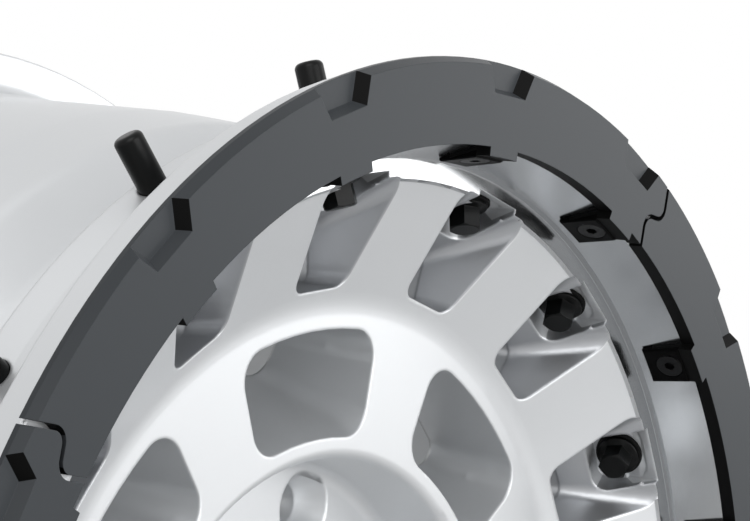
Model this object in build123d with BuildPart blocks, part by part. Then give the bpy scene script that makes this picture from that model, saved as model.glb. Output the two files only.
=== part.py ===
"""Off-road car wheel with a pinned bead and a guard ring in four segments.

Millimetres. The wheel's axis is Y. The outboard face looks toward -Y and the hub
face lies on the plane Y = 0. Angles run clockwise from +Z as seen from outboard.
"""

import os
from math import asin, atan2, cos, degrees, radians, sin, sqrt, tan

from build123d import *

# Rim: a 17 inch, 8.5 inch wide bead seat with a J flange
bead_seat_diameter = 436.6
bead_width = 215.9
wheel_offset = 25.0
flange_height = 17.3
flange_width = 13.0
flange_taper = 1.6
flange_edge_round = 1.0
heel_round = 6.5
seat_angle = 5.0
seat_width = 22.0
hump_height = 1.2
hump_width = 8.0
hump_round = 4.0

# Barrel between the two bead seats
land_width = 12.0
land_rise = 0.9
well_depth = 23.3
well_drop_run = 20.0
well_floor_width = 8.0
well_rise_run = 18.0
well_round = 9.0
shoulder_drop = 6.8
shoulder_round = 14.0
ridge_drop = 3.5
ridge_setback = 35.0
ridge_round = 60.0
barrel_wall = 6.5
inboard_mouth_round = 2.0

# Machined lip inside the front flange
lip_wall = 8.6
lip_cone_depth = 17.7
lip_cone_step = 5.6
lip_bevel_depth = 2.6
lip_bevel_step = 0.4
ledge_width = 6.7
ledge_edge_chamfer = 1.0

# Dished disc and hub
hub_thickness = 24.2
plateau_height = 52.2
plateau_radius = 154.0
plateau_round = 16.0
recess_radius = 101.3
recess_draft = 4.0
recess_edge_round = 3.5
recess_floor_round = 5.0
hub_pad_radius = 98.0
hub_pad_relief = 5.0
disc_root_height = 33.0
disc_root_round = 7.0
bore_diameter = 121.4
bore_chamfer = 1.2

# Lug holes with conical seats
lug_count = 8
lug_circle = 165.1
lug_hole_diameter = 15.0
lug_seat_diameter = 27.0
lug_seat_half_angle = 30.0

# Windows in the disc
window_count = 16
window_length = 39.6
window_lead = 2.0
window_half_width = 21.0
window_corner = 5.5
window_flank_draft = 20.0
window_outer_draft = 29.0
window_inner_draft = 5.0
window_scoop_depth = 32.2
window_throat_corner = 4.0
window_rear_depth = 20.0
window_rear_draft = 12.0

# Pockets in the hub
pocket_wall = 6.9
pocket_length = 36.9
pocket_half_angle = 15.0
pocket_corner = 10.5
pocket_end_height = 12.2
pocket_inner_draft = 23.0
pocket_outer_draft = 1.5
pocket_throat_half_angle = 10.5
pocket_throat_corner = 7.0

# Valve hole, at the bottom of the wheel
valve_angle = 180.0
valve_tilt = 30.0
valve_hole_diameter = 11.3
valve_hole_length = 18.0
valve_seat_diameter = 17.0
valve_seat_depth = 3.2
valve_spot_length = 12.0

# Pins that lock the outboard bead
pin_tilt = 16.0
pin_seat_inset = 0.4
pin_seat_setback = 34.2
pin_protrusion = 17.2
pin_pad_reach = 10.0
pin_pad_corner = 6.0
pin_pad_height = 16.0
pin_notch_width = 23.7
pin_notch_depth = 2.2
pin_notch_length = 13.0
pin_shank_diameter = 9.6
pin_tip_round = 2.0
pin_flange_diameter = 16.0
pin_flange_height = 2.2
pin_hex_width = 10.5
pin_hex_height = 7.2
pin_clearance = 0.3
seal_height = 1.2
seal_rim = 1.0

# Guard ring
ring_thickness = 5.45
ring_inner_clearance = 0.1
ring_overhang = 0.4
ring_bevel_width = 1.7
ring_bevel_depth = 3.6
segment_count = 4
seam_angle = 38.7
seam_tilt = 22.5
seam_gap = 1.6
seam_jog = 6.4
seam_bend = 4.5
seam_middle_setback = 12.8
notch_depth = 3.9
notch_reach = 8.9
notch_inner_half_width = 9.1
notch_flank_slope = 0.46
notch_floor_inset = 2.25
notch_floor_reach = 7.0
notch_overrun = 4.0

# Clips and their screws
clip_count = 16
clip_width = 16.4
clip_length = 14.6
clip_front_thickness = 2.4
clip_end_thickness = 1.4
clip_chamfer = 0.5
tab_depth = 3.1
foot_thickness = 1.2
foot_length = 10.6
seat_gap = 0.15
screw_setback = 5.6
screw_head_diameter = 10.0
screw_head_half_angle = 45.0
screw_diameter = 5.0
screw_length = 14.0
screw_socket_width = 3.5
screw_socket_depth = 1.8
screw_clearance = 0.3
screw_hole_spare = 1.5
countersink_lead = 1.0

# Heights along the axis
front_heel_y = wheel_offset - bead_width / 2
front_face_y = front_heel_y - flange_width
ring_front_y = front_face_y - ring_thickness
front_toe_y = front_heel_y + seat_width
land_edge_y = front_toe_y + land_width
well_start_y = land_edge_y + well_drop_run
well_end_y = well_start_y + well_floor_width
shoulder_y = well_end_y + well_rise_run
rear_heel_y = wheel_offset + bead_width / 2
rear_face_y = rear_heel_y + flange_width
rear_toe_y = rear_heel_y - seat_width
lip_end_y = front_face_y + lip_cone_depth
ledge_y = lip_end_y + lip_bevel_depth
throat_y = ledge_y + window_scoop_depth

# Radii
seat_radius = bead_seat_diameter / 2
seat_toe_radius = seat_radius - seat_width * tan(radians(seat_angle))
flange_radius = seat_radius + flange_height
land_edge_radius = seat_toe_radius + land_rise
well_radius = seat_radius - well_depth
shoulder_radius = seat_radius - shoulder_drop
ridge_radius = seat_radius - ridge_drop
lip_mouth_radius = seat_radius - lip_wall
lip_end_radius = lip_mouth_radius - lip_cone_step
ledge_radius = lip_end_radius - lip_bevel_step
disc_edge_radius = ledge_radius - ledge_width
bore_radius = bore_diameter / 2
ring_inner_radius = lip_mouth_radius - ring_inner_clearance
ring_front_radius = flange_radius + ring_overhang
ring_rear_radius = ring_front_radius + ring_bevel_width
tab_radius = ring_inner_radius - tab_depth

# Angles of the repeated features
window_pitch = 360 / window_count
window_angles = [window_pitch * i for i in range(window_count)]
clip_angles = [360 / clip_count * (i + 0.5) for i in range(clip_count)]
lug_pitch = 360 / lug_count
pocket_angles = [lug_pitch * i for i in range(lug_count)]


def front_plane(y):
    """Plane across the axis at height y, seen from outboard with +Z up."""
    return Plane(origin=(0, y, 0), x_dir=(1, 0, 0), z_dir=(0, -1, 0))


def meridian(angle):
    """Plane through the axis, with the radius along its x and the axis along its y."""
    a = radians(angle)
    return Plane(origin=(0, 0, 0), x_dir=(sin(a), 0, cos(a)), z_dir=(-cos(a), 0, sin(a)))


def tilted_plane(angle, radius, y, tilt):
    """Plane facing away from the axis, leaning inboard by the tilt."""
    a = radians(angle)
    t = radians(tilt)
    return Plane(
        origin=(radius * sin(a), y, radius * cos(a)),
        x_dir=(cos(a), 0, -sin(a)),
        z_dir=(cos(t) * sin(a), sin(t), cos(t) * cos(a)),
    )


def polar(radius, angle, shift=0):
    """Point of a front plane at a radius and angle, moved sideways by a shift."""
    a = radians(angle)
    return (radius * sin(a) + shift * cos(a), radius * cos(a) - shift * sin(a))


def axis_distance(edge):
    """Distance of a circle's centre from the wheel's axis, to a hundredth."""
    centre = edge.arc_center
    return round(sqrt(centre.X**2 + centre.Z**2), 2)


def turned(cutter, angles):
    """Copies of one cutter turned about the wheel's axis."""
    return [cutter.part.rotate(Axis.Y, angle) for angle in angles]


def lip_radius(y):
    """Radius of the machined cone of the lip."""
    return lip_mouth_radius - lip_cone_step * (y - front_face_y) / lip_cone_depth


def window_outline(depth):
    """Corners of a window's front scoop at a depth behind the ledge."""
    outer = disc_edge_radius - depth * tan(radians(window_outer_draft))
    inner = disc_edge_radius - window_length + depth * tan(radians(window_inner_draft))
    half = window_half_width - depth * tan(radians(window_flank_draft))
    return [(-half, inner), (half, inner), (half, outer), (-half, outer)]


def window_exit_outline():
    """Corners of a window's rear opening, which widens again behind the throat."""
    (left, bottom), _, (right, top), _ = window_outline(window_scoop_depth)
    flare = window_rear_depth * tan(radians(window_rear_draft))
    return [
        (left - flare, bottom - flare),
        (right + flare, bottom - flare),
        (right + flare, top + flare),
        (left - flare, top + flare),
    ]


def sector_corners(inner, outer, half_angle):
    """Corners of a ring sector about the top, from inner left round to inner right."""
    return [
        polar(inner, -half_angle),
        polar(outer, -half_angle),
        polar(outer, half_angle),
        polar(inner, half_angle),
    ]


def notch_outline(inner, half):
    """Corners of a ring notch that widens toward the rim and runs past it."""
    outer = ring_rear_radius + notch_overrun
    outer_half = half + (outer - inner) * notch_flank_slope
    return [(-half, inner), (half, inner), (outer_half, outer), (-outer_half, outer)]


def seam_point(angle, along, across):
    """Point of a front plane in a seam's own tilted directions."""
    t = radians(seam_tilt)
    radius = ring_inner_radius + seam_middle_setback + along * cos(t) + across * sin(t)
    return polar(radius, angle, across * cos(t) - along * sin(t))


def seam_points(angle, shift):
    """Points down one side of an S seam: its two straight ends and two quarter bends."""
    reach = ring_rear_radius - tab_radius
    step = seam_jog - seam_bend
    upper_bend = (seam_bend + shift) * sqrt(0.5)
    lower_bend = (seam_bend - shift) * sqrt(0.5)
    return [
        seam_point(angle, reach, seam_jog + shift),
        seam_point(angle, seam_bend, seam_jog + shift),
        seam_point(angle, seam_bend - upper_bend, step + upper_bend),
        seam_point(angle, -shift, step),
        seam_point(angle, -shift, -step),
        seam_point(angle, lower_bend - seam_bend, -step - lower_bend),
        seam_point(angle, -seam_bend, shift - seam_jog),
        seam_point(angle, -reach, shift - seam_jog),
    ]


# Wheel profile in radius and height, as corners with their rounding
wheel_profile = [
    ((lip_mouth_radius, front_face_y), 0),
    ((flange_radius, front_face_y), flange_edge_round),
    ((flange_radius - flange_taper, front_heel_y), flange_edge_round),
    ((seat_radius, front_heel_y), heel_round),
    ((seat_toe_radius, front_toe_y), 0),
    ((land_edge_radius, land_edge_y), 0),
    ((well_radius, well_start_y), well_round),
    ((well_radius, well_end_y), well_round),
    ((shoulder_radius, shoulder_y), shoulder_round),
    ((ridge_radius, shoulder_y + ridge_setback), ridge_round),
    ((seat_toe_radius, rear_toe_y - hump_width), hump_round),
    ((seat_toe_radius + hump_height, rear_toe_y - hump_width / 2), hump_round),
    ((seat_toe_radius, rear_toe_y), hump_round),
    ((seat_radius, rear_heel_y), heel_round),
    ((flange_radius - flange_taper, rear_heel_y), flange_edge_round),
    ((flange_radius, rear_face_y), flange_edge_round),
    ((seat_radius - barrel_wall, rear_face_y), inboard_mouth_round),
    ((ridge_radius - barrel_wall, shoulder_y + ridge_setback), ridge_round),
    ((shoulder_radius - barrel_wall, shoulder_y), shoulder_round),
    ((well_radius - barrel_wall, well_end_y), 0),
    ((well_radius - barrel_wall, -disc_root_height), disc_root_round),
    ((hub_pad_radius + hub_pad_relief, -hub_pad_relief), disc_root_round),
    ((hub_pad_radius, 0), 0),
    ((bore_radius + bore_chamfer, 0), 0),
    ((bore_radius, -bore_chamfer), 0),
    ((bore_radius, bore_chamfer - hub_thickness), 0),
    ((bore_radius + bore_chamfer, -hub_thickness), 0),
    ((recess_radius - recess_draft, -hub_thickness), recess_floor_round),
    ((recess_radius, -plateau_height), recess_edge_round),
    ((plateau_radius, -plateau_height), plateau_round),
    ((disc_edge_radius - ledge_edge_chamfer, ledge_y + ledge_edge_chamfer), 0),
    ((disc_edge_radius, ledge_y), 0),
    ((ledge_radius, ledge_y), 0),
    ((lip_end_radius, lip_end_y), 0),
]

# Seats of the lock pins, the clip screws and the valve
pin_seat_y = front_face_y + pin_seat_setback
pin_seat_radius = disc_edge_radius + pin_seat_inset
pin_shank_length = (land_edge_radius + pin_protrusion - pin_seat_radius) / cos(radians(pin_tilt))
pin_planes = [tilted_plane(a, pin_seat_radius, pin_seat_y, pin_tilt) for a in window_angles]

clip_end_y = front_face_y + clip_length
foot_end_y = front_face_y + foot_length
screw_y = front_face_y + screw_setback
clip_front_radius = lip_radius(front_face_y) - foot_thickness - 2 * seat_gap - clip_front_thickness
clip_end_radius = lip_radius(clip_end_y) - seat_gap - clip_end_thickness
clip_fall = (clip_front_radius - clip_end_radius) / clip_length
screw_tilt = degrees(atan2(clip_front_radius - clip_end_radius, clip_length))
screw_radius = clip_front_radius - clip_fall * screw_setback
screw_planes = [tilted_plane(a, screw_radius, screw_y, screw_tilt) for a in clip_angles]
screw_head_depth = (screw_head_diameter - screw_diameter) / 2 / tan(radians(screw_head_half_angle))
countersink_flare = countersink_lead * tan(radians(screw_head_half_angle))
countersink_radius = screw_head_diameter / 2 + screw_clearance + countersink_flare
clip_arc = 2 * degrees(asin(clip_width / 2 / lip_mouth_radius))
clip_starts = [a - clip_arc / 2 for a in clip_angles]

valve_plane = tilted_plane(
    valve_angle,
    (land_edge_radius + well_radius) / 2,
    (land_edge_y + well_start_y) / 2,
    valve_tilt,
)

with BuildPart() as window_cut:
    with BuildSketch(front_plane(ledge_y - window_lead)):
        with BuildLine():
            FilletPolyline(*window_outline(-window_lead), radius=window_corner, close=True)
        make_face()
    with BuildSketch(front_plane(throat_y)):
        with BuildLine():
            FilletPolyline(*window_outline(window_scoop_depth), radius=window_throat_corner, close=True)
        make_face()
    loft(ruled=True)
    with BuildSketch(front_plane(throat_y)):
        with BuildLine():
            FilletPolyline(*window_outline(window_scoop_depth), radius=window_throat_corner, close=True)
        make_face()
    with BuildSketch(front_plane(throat_y + window_rear_depth)):
        with BuildLine():
            FilletPolyline(*window_exit_outline(), radius=window_throat_corner, close=True)
        make_face()
    loft(ruled=True)

pocket_depth = plateau_height - pocket_end_height
pocket_inner_radius = recess_radius + pocket_wall
pocket_outer_radius = pocket_inner_radius + pocket_length
throat_inner_radius = pocket_inner_radius + pocket_depth * tan(radians(pocket_inner_draft))
throat_outer_radius = pocket_outer_radius - pocket_depth * tan(radians(pocket_outer_draft))

with BuildPart() as pocket_cut:
    with BuildSketch(front_plane(-plateau_height)) as pocket_mouth:
        with BuildLine():
            mouth = sector_corners(pocket_inner_radius, pocket_outer_radius, pocket_half_angle)
            Line(mouth[0], mouth[1])
            ThreePointArc(mouth[1], (0, pocket_outer_radius), mouth[2])
            Line(mouth[2], mouth[3])
            ThreePointArc(mouth[3], (0, pocket_inner_radius), mouth[0])
        make_face()
        fillet(pocket_mouth.vertices(), radius=pocket_corner)
    with BuildSketch(front_plane(-pocket_end_height)) as pocket_throat:
        with BuildLine():
            throat = sector_corners(throat_inner_radius, throat_outer_radius, pocket_throat_half_angle)
            Line(throat[0], throat[1])
            ThreePointArc(throat[1], (0, throat_outer_radius), throat[2])
            Line(throat[2], throat[3])
            ThreePointArc(throat[3], (0, throat_inner_radius), throat[0])
        make_face()
        fillet(pocket_throat.vertices(), radius=pocket_throat_corner)
    loft(ruled=True)

with BuildPart() as wheel:
    with BuildSketch():
        with BuildLine():
            FilletPolyline(
                *[corner for corner, _ in wheel_profile],
                radius=[rounding for _, rounding in wheel_profile],
                close=True,
            )
        make_face()
    revolve(axis=Axis.Y)
    add(turned(window_cut, window_angles), mode=Mode.SUBTRACT)
    add(turned(pocket_cut, pocket_angles), mode=Mode.SUBTRACT)
    # Flat pad, open notch and hole for each lock pin
    with BuildSketch(*pin_planes):
        RectangleRounded(pin_notch_width, 2 * pin_pad_reach, pin_pad_corner)
    extrude(amount=-pin_pad_height, mode=Mode.SUBTRACT)
    with BuildSketch(*pin_planes):
        Circle(pin_shank_diameter / 2 + pin_clearance)
    extrude(amount=pin_shank_length, mode=Mode.SUBTRACT)
    with BuildSketch(*[meridian(a) for a in window_angles]):
        with Locations((disc_edge_radius, ledge_y)):
            Rectangle(2 * pin_notch_depth, 2 * pin_notch_length)
    extrude(amount=pin_notch_width / 2, both=True, mode=Mode.SUBTRACT)
    # Lug holes and their seats
    lug_seat_depth = (lug_seat_diameter - lug_hole_diameter) / 2 / tan(radians(lug_seat_half_angle))
    with BuildSketch(front_plane(0)):
        with PolarLocations(lug_circle / 2, lug_count, start_angle=lug_pitch / 2):
            Circle(lug_hole_diameter / 2)
    extrude(amount=hub_thickness, mode=Mode.SUBTRACT)
    with BuildSketch(front_plane(lug_seat_depth - hub_thickness)):
        with PolarLocations(lug_circle / 2, lug_count, start_angle=lug_pitch / 2):
            Circle(lug_hole_diameter / 2)
    extrude(amount=lug_seat_depth, taper=-lug_seat_half_angle, mode=Mode.SUBTRACT)
    # Threaded holes for the clip screws
    with BuildSketch(*screw_planes):
        Circle(screw_diameter / 2 + screw_clearance)
    extrude(amount=screw_length + screw_hole_spare, mode=Mode.SUBTRACT)
    # Valve hole with a flat seat at each end
    with BuildSketch(valve_plane.offset(-valve_seat_depth)):
        Circle(valve_seat_diameter / 2)
    extrude(amount=valve_spot_length, mode=Mode.SUBTRACT)
    with BuildSketch(valve_plane.offset(-valve_seat_depth)):
        Circle(valve_hole_diameter / 2)
    extrude(amount=-valve_hole_length, mode=Mode.SUBTRACT)
    with BuildSketch(valve_plane.offset(-valve_seat_depth - valve_hole_length)):
        Circle(valve_seat_diameter / 2)
    extrude(amount=-valve_spot_length, mode=Mode.SUBTRACT)

with BuildPart() as lock_pins:
    with BuildSketch(*[p.offset(-seal_height - pin_flange_height) for p in pin_planes]):
        Circle(pin_flange_diameter / 2)
    extrude(amount=pin_flange_height)
    with BuildSketch(*[p.offset(-seal_height - pin_flange_height) for p in pin_planes]):
        RegularPolygon(pin_hex_width / 2, 6, major_radius=False)
    extrude(amount=-pin_hex_height)
    with BuildSketch(*[p.offset(-seal_height) for p in pin_planes]):
        Circle(pin_shank_diameter / 2)
    extrude(amount=pin_shank_length + seal_height)
    pin_ends = lock_pins.edges().filter_by(GeomType.CIRCLE).group_by(axis_distance)[-1]
    fillet(pin_ends, radius=pin_tip_round)

with BuildPart() as lock_pin_seals:
    with BuildSketch(*[p.offset(-seal_height) for p in pin_planes]):
        Circle(pin_flange_diameter / 2 + seal_rim)
        Circle(pin_shank_diameter / 2 + pin_clearance, mode=Mode.SUBTRACT)
    extrude(amount=seal_height)

with BuildPart() as notch_cut:
    with BuildSketch(front_plane(ring_front_y)):
        with BuildLine():
            Polyline(*notch_outline(ring_front_radius - notch_reach, notch_inner_half_width), close=True)
        make_face()
    with BuildSketch(front_plane(ring_front_y + notch_depth)):
        with BuildLine():
            floor_half_width = notch_inner_half_width - notch_floor_inset
            Polyline(*notch_outline(ring_front_radius - notch_floor_reach, floor_half_width), close=True)
        make_face()
    loft(ruled=True)

with BuildPart() as ring_blank:
    with BuildSketch():
        with BuildLine():
            Polyline(
                (ring_inner_radius, ring_front_y),
                (ring_front_radius, ring_front_y),
                (ring_rear_radius, ring_front_y + ring_bevel_depth),
                (ring_rear_radius, front_face_y),
                (ring_inner_radius, front_face_y),
                close=True,
            )
        make_face()
    revolve(axis=Axis.Y)
    add(turned(notch_cut, clip_angles), mode=Mode.SUBTRACT)
    # A tab at each clip, with a thin foot on the lip
    with BuildSketch(*[meridian(a) for a in clip_starts]):
        with BuildLine():
            Polyline(
                (tab_radius, ring_front_y),
                (ring_inner_radius + tab_depth, ring_front_y),
                (ring_inner_radius + tab_depth, front_face_y),
                (lip_radius(front_face_y) - seat_gap, front_face_y),
                (lip_radius(foot_end_y) - seat_gap, foot_end_y),
                (lip_radius(foot_end_y) - seat_gap - foot_thickness, foot_end_y),
                (lip_radius(front_face_y) - seat_gap - foot_thickness, front_face_y),
                (tab_radius, front_face_y),
                close=True,
            )
        make_face()
    revolve(axis=Axis.Y, revolution_arc=clip_arc)
    # The foot is forked round the screw
    with BuildSketch(*screw_planes):
        Circle(screw_head_diameter / 2)
        with Locations((0, foot_length / 2)):
            Rectangle(screw_head_diameter, foot_length)
    extrude(amount=screw_length, mode=Mode.SUBTRACT)

os.makedirs("parts", exist_ok=True)

for i in range(segment_count):
    segment_arc = 360 / segment_count
    start = seam_points(seam_angle + segment_arc * i, seam_gap / 2)
    end = seam_points(seam_angle + segment_arc * (i + 1), -seam_gap / 2)
    middle_angle = seam_angle + segment_arc * (i + 0.5)
    with BuildPart() as guard_segment:
        add(ring_blank.part)
        with BuildSketch(front_plane(ring_front_y)):
            with BuildLine():
                Line(start[0], start[1])
                ThreePointArc(start[1], start[2], start[3])
                Line(start[3], start[4])
                ThreePointArc(start[4], start[5], start[6])
                Line(start[6], start[7])
                ThreePointArc(start[7], polar(tab_radius - notch_overrun, middle_angle), end[7])
                Line(end[7], end[6])
                ThreePointArc(end[6], end[5], end[4])
                Line(end[4], end[3])
                ThreePointArc(end[3], end[2], end[1])
                Line(end[1], end[0])
                ThreePointArc(end[0], polar(ring_rear_radius + notch_overrun, middle_angle), start[0])
            make_face()
        extrude(amount=-ring_thickness - foot_length, mode=Mode.INTERSECT)
    guard_segment.part.label = f"guard_ring_{i + 1}"
    export_step(guard_segment.part, f"parts/guard_ring_{i + 1}.step")

for i in range(clip_count):
    with BuildPart() as clip:
        with BuildSketch(meridian(clip_starts[i])):
            with BuildLine():
                Polyline(
                    (clip_front_radius, front_face_y),
                    (lip_radius(front_face_y) - foot_thickness - 2 * seat_gap, front_face_y),
                    (lip_radius(foot_end_y) - foot_thickness - 2 * seat_gap, foot_end_y + seat_gap),
                    (lip_radius(foot_end_y) - seat_gap, foot_end_y + seat_gap),
                    (lip_radius(clip_end_y) - seat_gap, clip_end_y),
                    (clip_end_radius, clip_end_y),
                    close=True,
                )
            make_face()
        revolve(axis=Axis.Y, revolution_arc=clip_arc)
        inner_face = clip.faces().sort_by_distance((0, screw_y, 0))[0]
        chamfer(inner_face.edges(), length=clip_chamfer)
        with BuildSketch(screw_planes[i].offset(-countersink_lead)):
            Circle(countersink_radius)
        extrude(amount=screw_head_depth + countersink_lead, taper=screw_head_half_angle, mode=Mode.SUBTRACT)
        with BuildSketch(screw_planes[i]):
            Circle(screw_diameter / 2 + screw_clearance)
        extrude(amount=screw_length, mode=Mode.SUBTRACT)
    clip.part.label = f"guard_clip_{i + 1:02d}"
    export_step(clip.part, f"parts/guard_clip_{i + 1:02d}.step")

with BuildPart() as clip_screws:
    with BuildSketch(*screw_planes):
        Circle(screw_head_diameter / 2)
    extrude(amount=screw_head_depth, taper=screw_head_half_angle)
    with BuildSketch(*screw_planes):
        Circle(screw_diameter / 2)
    extrude(amount=screw_length)
    with BuildSketch(*screw_planes):
        RegularPolygon(screw_socket_width / 2, 6, major_radius=False)
    extrude(amount=screw_socket_depth, mode=Mode.SUBTRACT)

wheel.part.label = "wheel"
export_step(wheel.part, "parts/wheel.step")
lock_pins.part.label = "lock_pins"
export_step(lock_pins.part, "parts/lock_pins.step")
lock_pin_seals.part.label = "lock_pin_seals"
export_step(lock_pin_seals.part, "parts/lock_pin_seals.step")
clip_screws.part.label = "clip_screws"
export_step(clip_screws.part, "parts/clip_screws.step")
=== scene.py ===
"""Studio picture of an off-road car wheel with a pinned bead and a segmented guard ring."""

import logging
import math
from dataclasses import dataclass
from enum import Enum, IntEnum
from typing import Callable, Sequence

import bpy
import bmesh
from mathutils import Matrix, Vector


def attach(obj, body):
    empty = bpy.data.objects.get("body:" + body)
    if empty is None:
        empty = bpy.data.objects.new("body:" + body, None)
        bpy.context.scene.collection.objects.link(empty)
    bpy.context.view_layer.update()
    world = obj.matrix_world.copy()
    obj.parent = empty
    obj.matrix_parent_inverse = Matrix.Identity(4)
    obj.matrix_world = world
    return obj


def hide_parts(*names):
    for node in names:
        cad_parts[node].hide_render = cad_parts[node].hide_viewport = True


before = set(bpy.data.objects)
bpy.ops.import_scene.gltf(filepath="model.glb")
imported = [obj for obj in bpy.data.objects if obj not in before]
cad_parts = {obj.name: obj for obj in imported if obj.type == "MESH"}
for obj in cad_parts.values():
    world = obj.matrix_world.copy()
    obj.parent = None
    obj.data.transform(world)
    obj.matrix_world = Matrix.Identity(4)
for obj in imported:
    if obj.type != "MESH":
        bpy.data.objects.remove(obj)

LOG = logging.getLogger("wheel")
MM = 0.001
BODY = "root"


class Slot(Enum):
    """Material slots of the record."""

    WHEEL = "wheel"
    RING = "guard_ring"
    CLIP = "clip"
    SCREW = "screw"
    PIN = "pin"
    SEAL = "seal"


class RimZone(IntEnum):
    """Zones of the cast wheel, in the order of its finishes; the window and pocket walls are painted darker
    as shade.
    """

    CASTING = 0
    LIP = 1
    WINDOW = 2
    POCKET = 3


class RingZone(IntEnum):
    """Zones of the guard ring, in the order of its finishes; the black zone is painted shade."""

    GREY = 0
    BLACK = 1


def srgb(code: str) -> tuple[float, float, float, float]:
    """Turns an sRGB hex code into a linear colour.

    Args:
        code: Six hex digits.

    Returns:
        Linear red, green, blue and alpha.
    """
    channels = [int(code[i : i + 2], 16) / 255 for i in (0, 2, 4)]
    linear = [c / 12.92 if c <= 0.04045 else ((c + 0.055) / 1.055) ** 2.4 for c in channels]
    return (linear[0], linear[1], linear[2], 1.0)


def within(value: float, limits: tuple[float, float]) -> bool:
    """Tells whether a value lies between two limits.

    Args:
        value: The value.
        limits: The lower and the upper limit.

    Returns:
        True where it lies between them.
    """
    return limits[0] < value < limits[1]


def add_node(
    tree: bpy.types.NodeTree,
    kind: str,
    *feeds: bpy.types.NodeSocket,
    settings: dict[str, object] | None = None,
    **inputs: object,
) -> bpy.types.Node:
    """Adds a node with its settings and links.

    Args:
        tree: Node tree that gets the node.
        kind: Blender's type name of the node.
        *feeds: Sockets that are linked to the node's first inputs, in order.
        settings: Properties of the node by name.
        **inputs: Values or linked sockets by input name, with spaces written as underscores.

    Returns:
        The new node.
    """
    node = tree.nodes.new(kind)
    for name, value in (settings or {}).items():
        setattr(node, name, value)
    for number, feed in enumerate(feeds):
        tree.links.new(feed, node.inputs[number])
    for name, value in inputs.items():
        socket = node.inputs[name.replace("_", " ")]
        if isinstance(value, bpy.types.NodeSocket):
            tree.links.new(value, socket)
        else:
            socket.default_value = value
    return node


@dataclass(frozen=True)
class Finish:
    """Surface of one real material.

    Attributes:
        name: Name of the material.
        colour: sRGB hex code.
        roughness: Mean roughness.
        metallic: How metallic the surface is.
        coat: Weight of a clear coat.
        coat_roughness: Roughness of the clear coat.
        specular: Level of the plain reflection.
        grain_mm: Size of the fine surface grain.
        grain_detail: Octaves of the grain.
        grain_bump: Height of the grain or of the turning marks, in millimetres.
        grain_tone: How much the grain changes the roughness.
        least_roughness: Lowest roughness that the grain may give.
        edge_mm: Radius by which sharp edges look worn or rounded.
        edge_samples: How many rays look for an edge.
        turned_mm: Pitch of turning marks about the wheel's axis, or 0 for none.
        turned_detail: Octaves of the turning marks.
    """

    name: str
    colour: str
    roughness: float
    metallic: float = 0.0
    coat: float = 0.0
    coat_roughness: float = 0.12
    specular: float = 0.5
    grain_mm: float = 0.6
    grain_detail: float = 3.0
    grain_bump: float = 0.01
    grain_tone: float = 0.08
    least_roughness: float = 0.02
    edge_mm: float = 0.0
    edge_samples: int = 6
    turned_mm: float = 0.0
    turned_detail: float = 1.0

    def material(self) -> bpy.types.Material:
        """Builds the Blender material once.

        Returns:
            The material, made on the first call and found on later ones.
        """
        found = bpy.data.materials.get(self.name)
        if found is not None:
            return found
        made = bpy.data.materials.new(self.name)
        made.use_nodes = True
        tree = made.node_tree
        shader = tree.nodes["Principled BSDF"]
        constants = {
            "Base Color": srgb(self.colour),
            "Metallic": self.metallic,
            "Coat Weight": self.coat,
            "Coat Roughness": self.coat_roughness,
            "Specular IOR Level": self.specular,
        }
        for name, value in constants.items():
            shader.inputs[name].default_value = value
        place = add_node(tree, "ShaderNodeTexCoord").outputs["Object"]
        pitch = self.grain_mm * MM
        grain = add_node(tree, "ShaderNodeTexNoise", Vector=place, Scale=1 / pitch, Detail=self.grain_detail)
        tone = add_node(
            tree,
            "ShaderNodeMapRange",
            Value=grain.outputs["Fac"],
            To_Min=max(self.least_roughness, self.roughness - self.grain_tone),
            To_Max=self.roughness + self.grain_tone,
        )
        tree.links.new(tone.outputs["Result"], shader.inputs["Roughness"])
        height = self._turning_marks(tree, place) if self.turned_mm else grain.outputs["Fac"]
        bump = add_node(tree, "ShaderNodeBump", Strength=1.0, Distance=self.grain_bump * MM, Height=height)
        if self.edge_mm:
            samples = {"samples": self.edge_samples}
            edge = add_node(tree, "ShaderNodeBevel", settings=samples, Radius=self.edge_mm * MM)
            tree.links.new(edge.outputs["Normal"], bump.inputs["Normal"])
        tree.links.new(bump.outputs["Normal"], shader.inputs["Normal"])
        return made

    def _turning_marks(self, tree: bpy.types.NodeTree, place: bpy.types.NodeSocket) -> bpy.types.NodeSocket:
        """Fine rings about the wheel's axis, as a lathe leaves them.

        Args:
            tree: Node tree of the material.
            place: Object coordinates.

        Returns:
            Socket with the height of the marks.
        """
        split = add_node(tree, "ShaderNodeSeparateXYZ", place).outputs
        flat = add_node(tree, "ShaderNodeCombineXYZ", X=split["X"], Z=split["Z"])
        length = {"operation": "LENGTH"}
        radius = add_node(tree, "ShaderNodeVectorMath", flat.outputs["Vector"], settings=length)
        apart = {"operation": "SUBTRACT"}
        run = add_node(tree, "ShaderNodeMath", radius.outputs["Value"], split["Y"], settings=apart)
        marks = add_node(
            tree,
            "ShaderNodeTexNoise",
            settings={"noise_dimensions": "1D"},
            W=run.outputs["Value"],
            Scale=1 / (self.turned_mm * MM),
            Detail=self.turned_detail,
        )
        return marks.outputs["Fac"]


# Satin silver paint on a casting: a soft metallic gleam with a faint grain and soft edges
SILVER_PAINT = Finish(
    "silver_wheel_paint",
    "D2D4D6",
    0.38,
    metallic=0.6,
    coat=0.1,
    grain_mm=0.7,
    grain_bump=0.005,
    edge_mm=1.6,
)
# The same silver paint on the window walls: set darker and more metallic to give the photo's shading
WINDOW_WALL_PAINTED_SHADE = Finish(
    "silver_window_wall_painted_shade",
    "B0B2B5",
    0.34,
    metallic=0.8,
    coat=0.1,
    grain_mm=0.7,
    grain_bump=0.004,
    edge_mm=1.6,
)
# The same silver paint on the hub pockets' walls: set a little darker to give the photo's shading
POCKET_WALL_PAINTED_SHADE = Finish(
    "silver_pocket_wall_painted_shade",
    "C0C2C4",
    0.36,
    metallic=0.65,
    coat=0.1,
    grain_mm=0.7,
    grain_bump=0.005,
    edge_mm=1.6,
)
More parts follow.
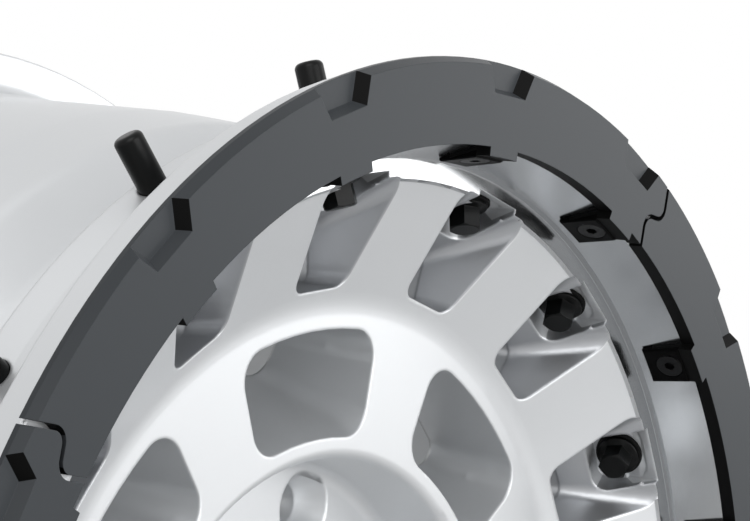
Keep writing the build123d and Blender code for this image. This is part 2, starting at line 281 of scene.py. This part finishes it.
# Bare aluminium off the lathe: mirror-like, drawn out by fine rings that are coarser than real ones to show
TURNED_ALUMINIUM = Finish(
    "turned_aluminium",
    "B9BBBD",
    0.17,
    metallic=1.0,
    grain_bump=0.0006,
    grain_tone=0.03,
    edge_mm=0.3,
    turned_mm=0.25,
)
# Satin grey anodised aluminium: an even dark grey with a low sheen
RING_FACE = Finish("guard_ring_grey_face", "3B3E41", 0.36, specular=0.12, grain_bump=0.004, edge_mm=0.35)
# The same anodised ring on its inner walls, seams and notch ends: set black to give the photo's shading
RING_SIDE_PAINTED_SHADE = Finish("guard_ring_black_painted_shade", "070707", 0.5, specular=0.08, grain_bump=0.005, edge_mm=0.25)
# Black anodised aluminium: deep black with a dim sheen
CLIP_BLACK = Finish("clip_black_anodised", "030303", 0.34, specular=0.04, grain_bump=0.003, edge_mm=0.3)
# Black oxide on steel: black with a slight gleam on edges and flats
SCREW_BLACK = Finish("screw_black_oxide", "070708", 0.30, specular=0.18, grain_bump=0.003, edge_mm=0.15)
# The same black oxide on the larger pins: a slightly softer gleam
PIN_BLACK = Finish("pin_black_oxide", "070808", 0.32, specular=0.16, grain_bump=0.003, edge_mm=0.2)
# Moulded rubber: matte black with a coarser grain
SEAL_RUBBER = Finish("seal_black_rubber", "0D0D0D", 0.7, specular=0.2, grain_bump=0.008)
# Pale matt studio floor
PALE_FLOOR = Finish("pale_floor", "E9E9E9", 0.8, specular=0.1, grain_mm=4.0)


def paint_by_zone(
    node: bpy.types.Object,
    finishes: Sequence[Finish],
    choose: Callable[[Vector, Vector], int],
) -> None:
    """Gives a CAD node several finishes, chosen face by face.

    Args:
        node: CAD node that keeps its mesh.
        finishes: Finishes in the order of their numbers.
        choose: Takes a face's centre and normal and returns a finish's number.
    """
    mesh = node.data
    mesh.materials.clear()
    for finish in finishes:
        mesh.materials.append(finish.material())
    numbers = [int(choose(polygon.center, polygon.normal)) for polygon in mesh.polygons]
    mesh.polygons.foreach_set("material_index", numbers)
    mesh.update()


@dataclass
class Rim:
    """The cast wheel with its turned lip.

    Attributes:
        node: Name of the CAD node.
        lip_radius: Range of radii of the turned lip and ledge, in millimetres.
        lip_height: Range along the axis of the turned lip and ledge, in millimetres.
        wall_radius: Range of radii of the walls of the windows and pockets, in millimetres.
        wall_height: Range along the axis of those walls, in millimetres.
        root: Lowest radius and height of the barrel's root, which is no such wall, in millimetres.
        steep: How far a face's normal may look along the axis on such a wall.
        pocket_radius: Radius that lies between the pockets and the windows, in millimetres.
    """

    node: str = "wheel"
    lip_radius: tuple[float, float] = (196.6, 210.2)
    lip_height: tuple[float, float] = (-97.0, -75.2)
    wall_radius: tuple[float, float] = (104.0, 197.5)
    wall_height: tuple[float, float] = (-76.0, -10.0)
    root: tuple[float, float] = (180.0, -34.0)
    steep: float = 0.75
    pocket_radius: float = 152.0

    def zone_of(self, centre: Vector, normal: Vector) -> RimZone:
        """Tells the turned lip and the walls of windows and pockets from the rest of the casting.

        Args:
            centre: Centre of a face.
            normal: Normal of the face.

        Returns:
            The zone that the face is in.
        """
        radius = math.hypot(centre.x, centre.z) / MM
        height = centre.y / MM
        if within(radius, self.lip_radius) and within(height, self.lip_height):
            return RimZone.LIP
        at_root = radius > self.root[0] and height > self.root[1]
        in_cut = within(radius, self.wall_radius) and within(height, self.wall_height)
        # Window and pocket walls take the darker paints, which are painted shade.
        if in_cut and not at_root and abs(normal.y) < self.steep:
            return RimZone.WINDOW if radius > self.pocket_radius else RimZone.POCKET
        return RimZone.CASTING

    def dress(self) -> None:
        """Gives the node its finishes."""
        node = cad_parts[self.node]
        finishes = [SILVER_PAINT, TURNED_ALUMINIUM, WINDOW_WALL_PAINTED_SHADE, POCKET_WALL_PAINTED_SHADE]
        paint_by_zone(node, finishes, self.zone_of)


@dataclass
class GuardRing:
    """The guard ring's segments: grey, with black painted shade on their inner walls, seams and one end of
    each notch.

    Attributes:
        count: Number of segments.
        front: How far a face has to look outboard to be grey.
        facing: How far a notch's end wall has to look clockwise to be grey.
        leaning: How far a face has to look away from the axis to be grey.
        notch_radius: Radius outside which the notches lie, in millimetres.
    """

    count: int = 4
    front: float = 0.95
    facing: float = 0.3
    leaning: float = 0.6
    notch_radius: float = 226.0

    def zone_of(self, centre: Vector, normal: Vector) -> RingZone:
        """Tells the grey faces from the walls that are painted black as shade.

        Args:
            centre: Centre of a face.
            normal: Normal of the face.

        Returns:
            The zone that the face is in.
        """
        radius = math.hypot(centre.x, centre.z)
        outward = Vector((centre.x, 0.0, centre.z)) / radius
        clockwise = Vector((outward.z, 0.0, -outward.x))
        in_notch = radius / MM > self.notch_radius and clockwise.dot(normal) > self.facing
        grey = -normal.y > self.front or in_notch or outward.dot(normal) > self.leaning
        return RingZone.GREY if grey else RingZone.BLACK

    def dress(self) -> None:
        """Gives each segment its finishes."""
        for number in range(1, self.count + 1):
            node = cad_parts[f"guard_ring_{number}"]
            paint_by_zone(node, [RING_FACE, RING_SIDE_PAINTED_SHADE], self.zone_of)


def repeat_about_axis(base: bpy.types.Object, count: int, start: float, finish: Finish) -> None:
    """Repeats a piece evenly about the wheel's axis with geometry nodes and keeps the plain mesh.

    Args:
        base: Piece modelled in its place at the top of the wheel.
        count: How many copies there are all round.
        start: Angle of the first copy, in degrees clockwise from the top.
        finish: Finish of all the copies.
    """
    tree = bpy.data.node_groups.new("repeat_about_axis", "GeometryNodeTree")
    values = {
        "Count": ("NodeSocketInt", count),
        "Start": ("NodeSocketFloat", math.radians(start)),
        "Pitch": ("NodeSocketFloat", math.radians(360 / count)),
        "Material": ("NodeSocketMaterial", finish.material()),
    }
    tree.interface.new_socket("Geometry", in_out="INPUT", socket_type="NodeSocketGeometry")
    sockets = {}
    for name, (kind, _) in values.items():
        sockets[name] = tree.interface.new_socket(name, in_out="INPUT", socket_type=kind)
    tree.interface.new_socket("Geometry", in_out="OUTPUT", socket_type="NodeSocketGeometry")
    source = add_node(tree, "NodeGroupInput").outputs
    points = add_node(tree, "GeometryNodePoints", Count=source["Count"])
    number = add_node(tree, "GeometryNodeInputIndex").outputs["Index"]
    step = {"operation": "MULTIPLY_ADD"}
    angle = add_node(tree, "ShaderNodeMath", number, source["Pitch"], source["Start"], settings=step)
    turn = add_node(tree, "ShaderNodeCombineXYZ", Y=angle.outputs["Value"])
    copies = add_node(
        tree,
        "GeometryNodeInstanceOnPoints",
        Points=points.outputs["Points"],
        Instance=source["Geometry"],
        Rotation=turn.outputs["Vector"],
    )
    real = add_node(tree, "GeometryNodeRealizeInstances", Geometry=copies.outputs["Instances"])
    dressed = add_node(
        tree,
        "GeometryNodeSetMaterial",
        Geometry=real.outputs["Geometry"],
        Material=source["Material"],
    )
    add_node(tree, "NodeGroupOutput", Geometry=dressed.outputs["Geometry"])
    modifier = base.modifiers.new("repeat", "NODES")
    modifier.node_group = tree
    for name, (_, value) in values.items():
        modifier[sockets[name].identifier] = value
    bpy.context.view_layer.update()
    done = base.evaluated_get(bpy.context.evaluated_depsgraph_get())
    mesh = bpy.data.meshes.new_from_object(done)
    base.modifiers.remove(modifier)
    base.data = mesh


@dataclass
class LockPins:
    """Hex-headed pins that lock the bead, with their heads chamfered as real ones are.

    Attributes:
        node: Name of the CAD node that the pins stand for.
        piece: Name of the piece with all the pins.
        count: How many there are.
        tilt: How far the pins lean inboard, in degrees.
        seat: Height and radius of the seat's centre, in millimetres.
        seal: Thickness of the sealing washer, in millimetres.
        flange: Radius and thickness of the flange, in millimetres.
        flange_edge: Thickness of the flange at its rim, in millimetres.
        flange_bevel: Bevel of the flange's rim, in millimetres.
        hex: Width across the flats and height of the hexagon, in millimetres.
        crown: Radius of the flat on the hexagon's end, as a share of half its width.
        chamfer: Slope of the chamfer on the hexagon's end, in degrees.
        shank: Radius and length of the shank past the seat, in millimetres.
        tip: Rounding of the tip, in millimetres.
        tip_steps: How many steps round the tip.
        steps: How many points go round.
        weld: Distance within which points are one, in metres.
        sharp: Angle over which an edge looks sharp, in degrees.
    """

    node: str = "lock_pins"
    piece: str = "lock_pin_set"
    count: int = 16
    tilt: float = 16.0
    seat: tuple[float, float] = (-61.75, 197.4)
    seal: float = 1.2
    flange: tuple[float, float] = (8.0, 2.2)
    flange_edge: float = 1.5
    flange_bevel: float = 0.25
    hex: tuple[float, float] = (10.5, 7.2)
    crown: float = 0.93
    chamfer: float = 30.0
    shank: tuple[float, float] = (4.8, 38.57)
    tip: float = 2.0
    tip_steps: int = 8
    steps: int = 48
    weld: float = 1e-7
    sharp: float = 25.0

    def _round(self, height: float, radius: float) -> list[Vector]:
        """One round ring of points.

        Args:
            height: Distance along the pin from its seat, in millimetres.
            radius: Radius of the ring, in millimetres.

        Returns:
            The points of the ring.
        """
        turns = [2 * math.pi * step / self.steps for step in range(self.steps)]
        return [Vector((radius * math.cos(turn), radius * math.sin(turn), height)) for turn in turns]

    def _hexagon(self, height: float, slope: float) -> list[Vector]:
        """One ring of points round the hexagon.

        Args:
            height: Distance along the pin from its seat, in millimetres.
            slope: How far a corner falls back for each millimetre that it lies outside the crown.

        Returns:
            The points of the ring.
        """
        sixth = math.pi / 3
        half = self.hex[0] / 2
        ring = []
        for step in range(self.steps):
            turn = 2 * math.pi * step / self.steps
            reach = half / math.cos((turn + sixth / 2) % sixth - sixth / 2)
            drop = (reach - half * self.crown) * slope
            ring.append(Vector((reach * math.cos(turn), reach * math.sin(turn), height + drop)))
        return ring

    def _profile(self) -> list[list[Vector]]:
        """Rings of points from the hexagon's end to the pin's tip.

        Returns:
            The rings in order.
        """
        end = -self.seal - self.flange[1] - self.hex[1]
        rim = -self.seal - self.flange_edge
        rings = [
            self._round(end, 0.0),
            self._round(end, self.hex[0] / 2 * self.crown),
            self._hexagon(end, math.tan(math.radians(self.chamfer))),
            self._hexagon(end + self.hex[1], 0.0),
            self._round(rim, self.flange[0] - self.flange_bevel),
            self._round(rim + self.flange_bevel, self.flange[0]),
            self._round(-self.seal, self.flange[0]),
            self._round(-self.seal, self.shank[0]),
        ]
        for step in range(self.tip_steps + 1):
            turn = math.radians(90 * step / self.tip_steps)
            inset = self.tip * (1 - math.cos(turn))
            rings.append(self._round(self.shank[1] - self.tip * (1 - math.sin(turn)), self.shank[0] - inset))
        rings.append(self._round(self.shank[1], 0.0))
        return rings

    def _mesh(self) -> bpy.types.Mesh:
        """Models one pin in its place at the top of the wheel.

        Returns:
            The pin's mesh.
        """
        seat = Matrix.Translation(Vector((0.0, *self.seat)))
        place = seat @ Matrix.Rotation(-math.radians(self.tilt), 4, "X")
        shape = bmesh.new()
        loops = [[shape.verts.new(place @ point * MM) for point in ring] for ring in self._profile()]
        for low, high in zip(loops, loops[1:]):
            for step in range(self.steps):
                ahead = (step + 1) % self.steps
                shape.faces.new((low[step], low[ahead], high[ahead], high[step]))
        bmesh.ops.remove_doubles(shape, verts=shape.verts, dist=self.weld)
        bmesh.ops.recalc_face_normals(shape, faces=shape.faces)
        mesh = bpy.data.meshes.new(self.piece)
        shape.to_mesh(mesh)
        shape.free()
        mesh.polygons.foreach_set("use_smooth", [True] * len(mesh.polygons))
        mesh.set_sharp_from_angle(angle=math.radians(self.sharp))
        return mesh

    def dress(self) -> None:
        """Repeats the pin with its finish and stands the set in for the CAD node."""
        piece = bpy.data.objects.new(self.piece, self._mesh())
        bpy.context.scene.collection.objects.link(piece)
        repeat_about_axis(piece, self.count, 0.0, PIN_BLACK)
        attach(piece, BODY)
        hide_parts(self.node)


@dataclass
class Hardware:
    """Clips, screws and seals that keep one finish each.

    Attributes:
        clips: Number of clips.
    """

    clips: int = 16

    def dress(self) -> None:
        """Gives each node its finish."""
        for number in range(1, self.clips + 1):
            self._plain(f"guard_clip_{number:02d}", CLIP_BLACK)
        self._plain("clip_screws", SCREW_BLACK)
        self._plain("lock_pin_seals", SEAL_RUBBER)

    def _plain(self, name: str, finish: Finish) -> None:
        """Gives one node one finish.

        Args:
            name: Name of the CAD node.
            finish: Its finish.
        """
        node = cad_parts[name]
        node.data.materials.clear()
        node.data.materials.append(finish.material())


@dataclass(frozen=True)
class Lamp:
    """One square soft light that looks at the wheel.

    Attributes:
        name: Name of the light.
        place: Its place, in metres.
        size: Its edge, in metres.
        power: Its power in watts.
    """

    name: str
    place: tuple[float, float, float]
    size: float
    power: float

    def hang(self) -> None:
        """Makes the light."""
        light = bpy.data.lights.new(self.name, "AREA")
        light.size = self.size
        light.energy = self.power
        held = bpy.data.objects.new(self.name, light)
        held.location = self.place
        held.rotation_euler = (-Vector(self.place)).to_track_quat("-Z", "Y").to_euler()
        bpy.context.scene.collection.objects.link(held)


@dataclass
class Studio:
    """Floor, lights, background and camera.

    Attributes:
        camera_at: Camera's place, in millimetres.
        camera_turn: Camera's turn in degrees about X and Z.
        lens: Focal length, in millimetres.
        sensor: Width of the camera's sensor, in millimetres.
        near: Shortest distance that the camera sees, in metres.
        floor_height: Height of the floor, in millimetres.
        floor_radius: Radius of the floor, in millimetres.
        floor_sides: How many sides the floor's edge has.
        fill: Level of the even light from all round.
        lamps: The lights.
    """

    camera_at: tuple[float, float, float] = (-698.2, -590.8, 285.5)
    camera_turn: tuple[float, float] = (82.473, -53.726)
    lens: float = 129.27
    sensor: float = 36.0
    near: float = 0.01
    floor_height: float = -237.75
    floor_radius: float = 1500.0
    floor_sides: int = 96
    fill: float = 0.27
    lamps: tuple[Lamp, ...] = (
        Lamp("key", (-1.3, -0.9, 1.6), 1.6, 19.0),
        Lamp("front", (0.2, -2.1, 0.4), 1.6, 30.0),
        Lamp("side", (2.0, -1.2, 0.3), 1.0, 9.0),
        Lamp("top", (-0.3, 0.8, 2.0), 1.8, 3.0),
    )

    def build(self) -> None:
        """Makes the whole studio."""
        self._floor()
        self._world()
        for lamp in self.lamps:
            lamp.hang()
        self._camera()
        bpy.context.scene.view_settings.view_transform = "Standard"

    def _floor(self) -> None:
        """Makes the plain pale floor."""
        mesh = bpy.data.meshes.new("floor")
        shape = bmesh.new()
        radius = self.floor_radius * MM
        bmesh.ops.create_circle(shape, cap_ends=True, segments=self.floor_sides, radius=radius)
        shape.to_mesh(mesh)
        shape.free()
        floor = bpy.data.objects.new("floor", mesh)
        floor.location.z = self.floor_height * MM
        bpy.context.scene.collection.objects.link(floor)
        mesh.materials.append(PALE_FLOOR.material())

    def _world(self) -> None:
        """Makes a background that looks white and lights evenly."""
        world = bpy.data.worlds.new("studio")
        bpy.context.scene.world = world
        world.use_nodes = True
        tree = world.node_tree
        tree.nodes.clear()
        rays = add_node(tree, "ShaderNodeLightPath").outputs
        larger = {"operation": "MAXIMUM"}
        seen = add_node(tree, "ShaderNodeMath", rays["Is Camera Ray"], rays["Is Glossy Ray"], settings=larger)
        through = rays["Is Transmission Ray"]
        white = add_node(tree, "ShaderNodeMath", seen.outputs["Value"], through, settings=larger)
        level = add_node(
            tree,
            "ShaderNodeMapRange",
            Value=white.outputs["Value"],
            To_Min=self.fill,
            To_Max=1.0,
        )
        back = add_node(
            tree,
            "ShaderNodeBackground",
            Color=(1.0, 1.0, 1.0, 1.0),
            Strength=level.outputs["Result"],
        )
        add_node(tree, "ShaderNodeOutputWorld", Surface=back.outputs["Background"])

    def _camera(self) -> None:
        """Makes the camera at the photo's view."""
        view = bpy.data.cameras.new("camera")
        view.lens = self.lens
        view.sensor_width = self.sensor
        view.clip_start = self.near
        view.dof.use_dof = False
        camera = bpy.data.objects.new("camera", view)
        camera.location = [value * MM for value in self.camera_at]
        tip, turn = (math.radians(angle) for angle in self.camera_turn)
        camera.rotation_euler = (tip, 0.0, turn)
        bpy.context.scene.collection.objects.link(camera)
        bpy.context.scene.camera = camera


def main() -> None:
    """Dresses the wheel and builds the studio."""
    logging.basicConfig(level=logging.INFO)
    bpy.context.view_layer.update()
    for part in (Rim(), GuardRing(), LockPins(), Hardware()):
        part.dress()
        LOG.info("dressed %s", type(part).__name__)
    Studio().build()


if __name__ == "__main__":
    main()
